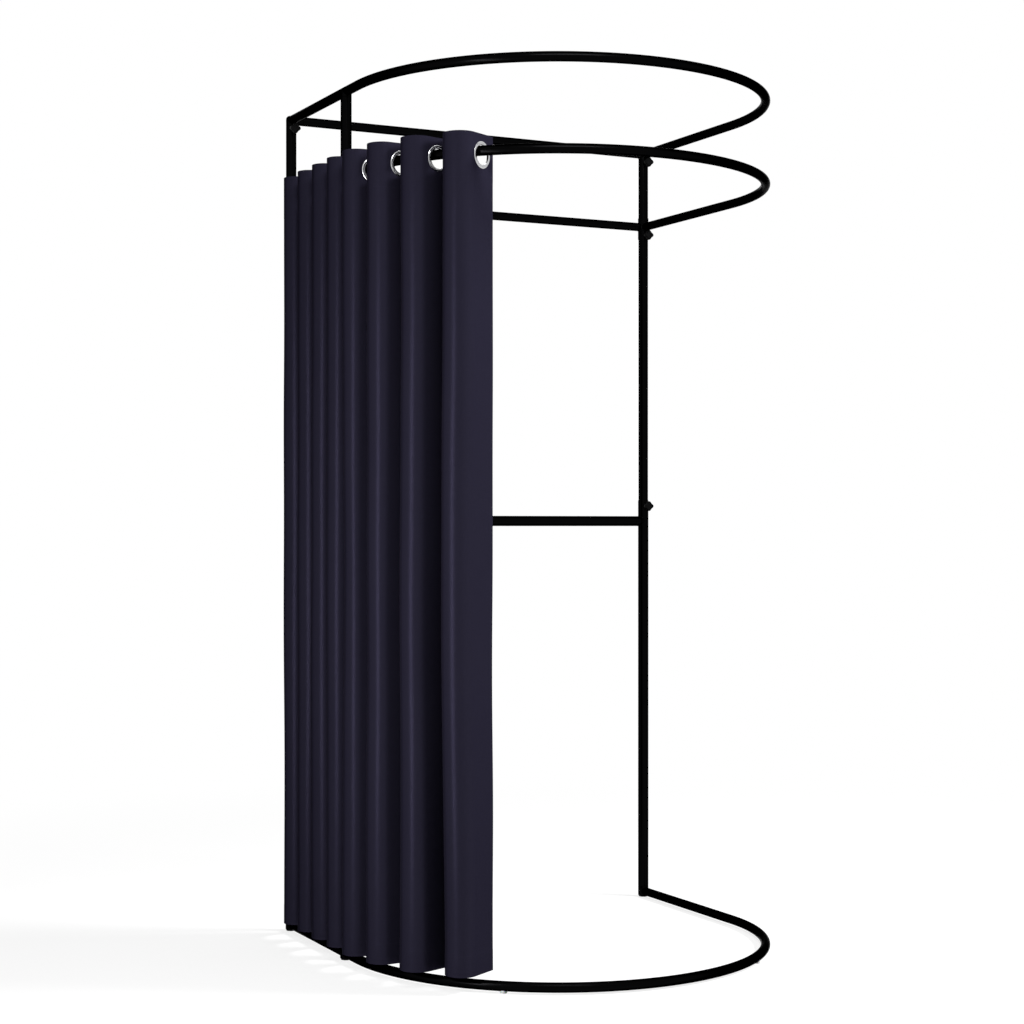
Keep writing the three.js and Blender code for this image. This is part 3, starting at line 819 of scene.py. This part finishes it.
def eyelet_places():
    """Distances of the eyelets from the rear left corner, two to each fold."""
    pitch = REAR_SPAN / REAR_FOLDS
    places = []
    for number in range(FOLDS):
        share = number / (FOLDS - 1)
        near = FIRST_EYELET + pitch * number + LOOSENING * share ** LOOSENING_POWER
        width = REAR_FOLD + (FRONT_FOLD - REAR_FOLD) * share ** WIDTH_POWER
        places += [near, near + width]
    return np.array(places)


RINGS = eyelet_places()


def sway(waves, down, phases):
    return sum(size * math.sin(rate * down + phase) for (size, rate), phase in zip(waves, phases))


def drift(i, height):
    """How far an eyelet's place, and the slant of its flank, wander lower down the cloth. Both
    flanks of an inner fold wander together, and the fold beside the front upright stays calmer."""
    below = np.clip((EYELET_HEIGHT - DRIFT_START - height) / DRIFT_EASE, 0, 1)
    inner = (i + 1) // 2
    ease = below * below * (3 - 2 * below) * (CALM_SHARE if inner == CALM_INNER_FOLD else 1.0)
    down = EYELET_HEIGHT - height
    place = sway(PLACE_WAVES, down, DRIFT[inner][:3])
    slant = sway(SLANT_WAVES, down, DRIFT[inner][3:])
    return ease * place, ease * slant * (1 if i % 2 else -1)


def flank_heading(i, heading, slant=0.0):
    """The cloth's heading through an eyelet: outward where a fold starts, inward where it ends."""
    angle = (FLANK_ANGLE + slant) * (1 if i % 2 else -1)
    c, s = math.cos(angle), math.sin(angle)
    return np.array([c * heading[0] - s * heading[1], s * heading[0] + c * heading[1]])


def row(height):
    """The curtain's centreline at one height, as points in plan with the eyelets among them."""
    centres = []
    headings = []
    for i in range(EYELETS):
        moved, slant = drift(i, height)
        place, heading = on_hoop(RINGS[i] + moved)
        centres.append(place)
        headings.append(flank_heading(i, heading, slant))
    flank = np.linspace(0, 1, COLUMNS_FLANK)
    points = [centres[0] - headings[0] * REAR_HEM * (1 - t) for t in flank[:-1]]
    for i in range(EYELETS - 1):
        points += fold(centres[i], headings[i], centres[i + 1], headings[i + 1], flank)
    points += [centres[-1] + headings[-1] * LEADING_HEM * t for t in flank]
    return np.array(points)


def fold(start, out, end, back, flank):
    """A flank, a rounded crest and a flank, from one eyelet up to the next."""
    first = start + out * FLANK_LENGTH
    last = end - back * FLANK_LENGTH
    turn = math.atan2(out[0] * back[1] - out[1] * back[0], float(out @ back))
    chord = float(np.linalg.norm(last - first))
    reach = chord / (2 * math.sin(abs(turn) / 2)) * 4 / 3 * math.tan(abs(turn) / 4)
    t = np.linspace(0, 1, COLUMNS_CREST)[1:-1, None]
    crest = ((1 - t) ** 3 * first + 3 * (1 - t) ** 2 * t * (first + out * reach)
             + 3 * (1 - t) * t * t * (last - back * reach) + t ** 3 * last)
    up = [start + out * FLANK_LENGTH * s for s in flank]
    down = [end - back * FLANK_LENGTH * (1 - s) for s in flank[:-1]]
    return up + list(crest) + down


# Curtain: its surface

def heights():
    """Rows close together round the eyelets and at the hems, and further apart between."""
    step = 0.003
    eyelet_low = EYELET_HEIGHT - EYELET_R - 0.004
    eyelet_high = EYELET_HEIGHT + EYELET_R + step
    header = CURTAIN_TOP - HEADER_BAND
    hem = CURTAIN_BOTTOM + np.array([0.0, 0.0015, 0.004, 0.012, 0.024, 0.036, 0.0435, 0.0465])
    plain = np.linspace(CURTAIN_BOTTOM + 0.060, header - 2 * step, num=84)
    head = np.linspace(header - step / 2, eyelet_low - step, num=5)
    fine = np.linspace(eyelet_low, eyelet_high, num=28)
    top = np.linspace(eyelet_high + step, CURTAIN_TOP - 0.002, num=4)
    return np.concatenate([hem, plain, head, fine, top, [CURTAIN_TOP]])


def half_thickness(levels):
    """Half the cloth's thickness by height: doubled over in the hem and the header."""
    half = np.full(len(levels), CLOTH_HALF)
    half[levels < CURTAIN_BOTTOM + HEM_BAND] = HEM_HALF
    half[levels > CURTAIN_TOP - HEADER_BAND] = HEADER_HALF
    return half


def curtain_surface(levels):
    rows = []
    for level in levels:
        plan = row(level)
        rows.append(np.column_stack([plan[:, 0] + CORNER.x, plan[:, 1] + CORNER.y,
                                     np.full(len(plan), level)]))
    return np.array(rows)


def surface_normals(surface, levels):
    normals = np.cross(np.gradient(surface, axis=1), np.gradient(surface, levels, axis=0))
    return normals / np.linalg.norm(normals, axis=2, keepdims=True)


def seam_columns():
    """The column of each eyelet's centre in a row."""
    step = 2 * COLUMNS_FLANK + COLUMNS_CREST - 3
    return [COLUMNS_FLANK - 1 + i * step for i in range(EYELETS)]


LEVELS = heights()
SURFACE = curtain_surface(LEVELS)
NORMALS = surface_normals(SURFACE, LEVELS)
HALF = half_thickness(LEVELS)
MIDDLE_ROW = int(np.argmin(abs(LEVELS - EYELET_HEIGHT)))
ALONG = np.concatenate([[0], np.cumsum(np.linalg.norm(np.diff(SURFACE[MIDDLE_ROW], axis=0), axis=1))])
SEAMS = seam_columns()


def open_holes(kept, points, first, last):
    """Drops the faces inside the eyelets and draws the edge of each hole to a circle."""
    tiny = 1e-9
    columns = np.arange(first, last + 1)
    for column in SEAMS:
        if not first <= column <= last:
            continue
        centre = SURFACE[MIDDLE_ROW, column].copy()
        centre[2] = EYELET_HEIGHT
        off = np.linalg.norm(points - centre, axis=2)
        nearest = np.stack([off[:-1, :-1], off[1:, :-1], off[:-1, 1:], off[1:, 1:]]).min(0)
        gone = (nearest < HOLE_R) & (np.abs(columns[:-1] + 0.5 - column) < COLUMNS_FLANK)
        kept &= ~gone
        used = np.zeros_like(off, bool)
        for i in (0, 1):
            for j in (0, 1):
                used[i:i + gone.shape[0], j:j + gone.shape[1]] |= gone
        near = (off >= HOLE_R - tiny) & (off < HOLE_R + HOLE_EDGE)
        snap = used & near & (np.abs(columns - column) < COLUMNS_FLANK)
        pull = (points - centre) * (HOLE_R / np.maximum(off, tiny))[:, :, None]
        points[snap] = (centre + pull)[snap]


def sheet_faces(kept, back):
    """Faces of both sides of a strip and of its rim. The far side's points start at back."""
    columns = kept.shape[1] + 1
    faces = []
    edges = {}
    for i, j in np.argwhere(kept).tolist():
        a = i * columns + j
        quad = (a, a + 1, a + columns + 1, a + columns)
        faces.append(quad)
        faces.append(tuple(q + back for q in reversed(quad)))
        edges.update(dict.fromkeys(zip(quad, quad[1:] + quad[:1])))
    return faces + [(b, a, a + back, b + back) for a, b in edges if (b, a) not in edges]


def cloth_piece(name, first, last, nodes):
    """A strip of the curtain between two columns, as a thin closed sheet with its map."""
    middle = SURFACE[:, first:last + 1].copy()
    rows, columns = middle.shape[:2]
    back = rows * columns
    kept = np.ones((rows - 1, columns - 1), bool)
    open_holes(kept, middle, first, last)
    shift = NORMALS[:, first:last + 1] * HALF[:, None, None]
    points = np.concatenate([(middle + shift).reshape(-1, 3), (middle - shift).reshape(-1, 3)])
    mesh = bpy.data.meshes.new(name)
    mesh.from_pydata([tuple(p) for p in points], [], sheet_faces(kept, back))
    mesh.polygons.foreach_set("use_smooth", [True] * len(mesh.polygons))
    chart = mesh.uv_layers.new(name="cloth")
    corners = np.zeros(len(mesh.loops), np.int32)
    mesh.loops.foreach_get("vertex_index", corners)
    grid = corners % back
    uv = np.stack([ALONG[first + grid % columns], LEVELS[grid // columns] - CURTAIN_BOTTOM], 1)
    chart.data.foreach_set("uv", uv.astype(np.float32).ravel())
    mesh.materials.append(CLOTH)
    mesh.set_sharp_from_angle(angle=CLOTH_SHARP_EDGE)
    drop_loose(mesh)
    made = add_object(name, mesh)
    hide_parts(*nodes)
    return made, ALONG[last] - ALONG[first]


def drop_loose(mesh):
    """Deletes the points that the holes left without a face."""
    work = bmesh.new()
    work.from_mesh(mesh)
    bmesh.ops.delete(work, geom=[v for v in work.verts if not v.link_faces], context="VERTS")
    work.to_mesh(mesh)
    work.free()


def ring_centre(i):
    place, heading = on_hoop(RINGS[i])
    return spot(*place, EYELET_HEIGHT), heading


def add_curtain():
    """The panel in strips: one that stays on the rail hoop, one from each eyelet to the next
    further on, and the edge past the last eyelet."""
    nodes = ["curtain_rear"] + ["curtain_pleat_%02d" % i for i in range(FIRST_PLEAT, FIXED_EYELETS + 1)]
    rear, width = cloth_piece("cloth_rear", 0, SEAMS[FIXED_EYELETS - 1], nodes)
    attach(rear, "rail_hoop")
    for i in range(FIXED_EYELETS - 1, EYELETS - 1):
        label = "cloth_fold_%02d_%02d" % (i + 1, i + 2)
        made, width = cloth_piece(label, SEAMS[i], SEAMS[i + 1], ["curtain_pleat_%02d" % (i + 2)])
        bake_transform(made)
    edge, width = cloth_piece("cloth_leading_edge", SEAMS[-1], SURFACE.shape[1] - 1, ["curtain_pleat_16"])
    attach(edge, "pleat_16")


def eyelet_profile():
    """Two pressed rims that grip the cloth, joined by a barrel, as (radius, distance)."""
    half = [(EYELET_BORE, 0.0), (EYELET_BORE, 0.0011), (EYELET_BORE + 0.0003, 0.0018),
            (EYELET_BORE + 0.0010, 0.0023), (EYELET_BORE + 0.0021, EYELET_HALF),
            (EYELET_BORE + 0.0046, EYELET_HALF - 0.0001), (EYELET_R - 0.0016, 0.0021),
            (EYELET_R - 0.0005, 0.0017), (EYELET_R, 0.0012), (EYELET_R - 0.0003, 0.0009),
            (EYELET_R - 0.0012, 0.0008), (EYELET_BARREL, 0.0008)]
    return half + [(r, -z) for r, z in reversed(half[1:])]


def add_eyelets():
    profile = eyelet_profile()
    for i in range(EYELETS):
        centre, heading = ring_centre(i)
        flank = flank_heading(i, heading)
        normal = np.array([flank[1], -flank[0], 0.0])
        shell = Shell()
        turned(shell, centre, normal, profile, RING_SIDES, closed=True)
        body = "rail_hoop" if i < FIXED_EYELETS else "pleat_%02d" % (i + 1)
        node = "eyelet_%02d" % (i + 1)
        piece(node + "_ring", body, shell, [CHROME], "eyelet_chrome", node)


# Studio

FLOOR_HALF = 30.0
FLOOR_GREY = 0.26
FLOOR_GLOW = 0.80
WHITE_START = 0.9
WHITE_END = 3.2
SKY_LIGHT = 0.02
LAMP_AIM = (0, 0, 1.0)


def seen_rays(tree):
    """1 for rays that show the background: to the camera, mirrored or through something clear."""
    path = tree.nodes.new("ShaderNodeLightPath")
    seen = path.outputs["Is Camera Ray"]
    for kind in ("Is Glossy Ray", "Is Transmission Ray"):
        either = tree.nodes.new("ShaderNodeMath")
        either.operation = "MAXIMUM"
        tree.links.new(seen, either.inputs[0])
        tree.links.new(path.outputs[kind], either.inputs[1])
        seen = either.outputs[0]
    return seen


def floor_material():
    """Grey with a glow near the part, so that it keeps the shadow, and plain white far off."""
    n = Nodes("pale_floor")
    n.tree.nodes.remove(n.shader)
    seen = seen_rays(n.tree)
    reach = n.add("ShaderNodeVectorMath", {"operation": "LENGTH"})
    n.put(n.coordinates(), reach.inputs[0])
    far = n.add("ShaderNodeMapRange", {"interpolation_type": "SMOOTHSTEP"},
                Value=reach.outputs["Value"], From_Min=WHITE_START, From_Max=WHITE_END)
    matt = n.add("ShaderNodeBsdfDiffuse", Color=(FLOOR_GREY, FLOOR_GREY, FLOOR_GREY, 1))
    glow = n.add("ShaderNodeEmission", Strength=n.math("MULTIPLY", seen, FLOOR_GLOW))
    white = n.add("ShaderNodeEmission", Strength=seen)
    near = n.add("ShaderNodeAddShader")
    n.put(matt.outputs[0], near.inputs[0])
    n.put(glow.outputs[0], near.inputs[1])
    both = n.add("ShaderNodeMixShader")
    n.put(far.outputs["Result"], both.inputs[0])
    n.put(near.outputs[0], both.inputs[1])
    n.put(white.outputs[0], both.inputs[2])
    n.put(both.outputs[0], n.tree.nodes["Material Output"].inputs["Surface"])
    return n.material


def add_floor():
    mesh = bpy.data.meshes.new("floor")
    corners = ((-1, -1), (1, -1), (1, 1), (-1, 1))
    mesh.from_pydata([(FLOOR_HALF * x, FLOOR_HALF * y, 0) for x, y in corners], [], [(0, 1, 2, 3)])
    mesh.materials.append(floor_material())
    ground = add_object("floor", mesh)


def add_world():
    world = bpy.data.worlds.new("studio")
    bpy.context.scene.world = world
    world.use_nodes = True
    tree = world.node_tree
    shade = tree.nodes["Background"]
    shade.inputs["Color"].default_value = (1, 1, 1, 1)
    level = tree.nodes.new("ShaderNodeMapRange")
    level.inputs["To Min"].default_value = SKY_LIGHT
    level.inputs["To Max"].default_value = 1.0
    tree.links.new(seen_rays(tree), level.inputs["Value"])
    tree.links.new(level.outputs["Result"], shade.inputs["Strength"])


def lamp(name, place, width, height, power, mirrored=True):
    light = bpy.data.lights.new(name, "AREA")
    light.shape = "RECTANGLE"
    light.size = width
    light.size_y = height
    light.energy = power
    made = add_object(name, light)
    made.location = place
    made.visible_camera = False
    made.visible_glossy = mirrored
    aim = Vector(LAMP_AIM) - Vector(place)
    made.rotation_euler = aim.to_track_quat("-Z", "Y").to_euler()


def add_lamps():
    lamp("right", (3.0, -1.75, 3.2), width=1.5, height=1.1, power=305, mirrored=False)
    lamp("left_strip", (-1.68, -0.88, 0.90), width=0.16, height=1.6, power=20)
    lamp("over", (-0.7, -2.0, 3.1), width=1.2, height=0.35, power=34)
    lamp("top", (0.2, 0.6, 4.2), width=1.6, height=1.6, power=35)


add_camera()
add_base()
add_top()
add_rail()
add_uprights()
add_screws()
add_feet()
add_glides()
add_curtain()
add_eyelets()
add_floor()
add_world()
add_lamps()
bpy.context.scene.view_settings.view_transform = "Standard"

bpy.context.view_layer.update()
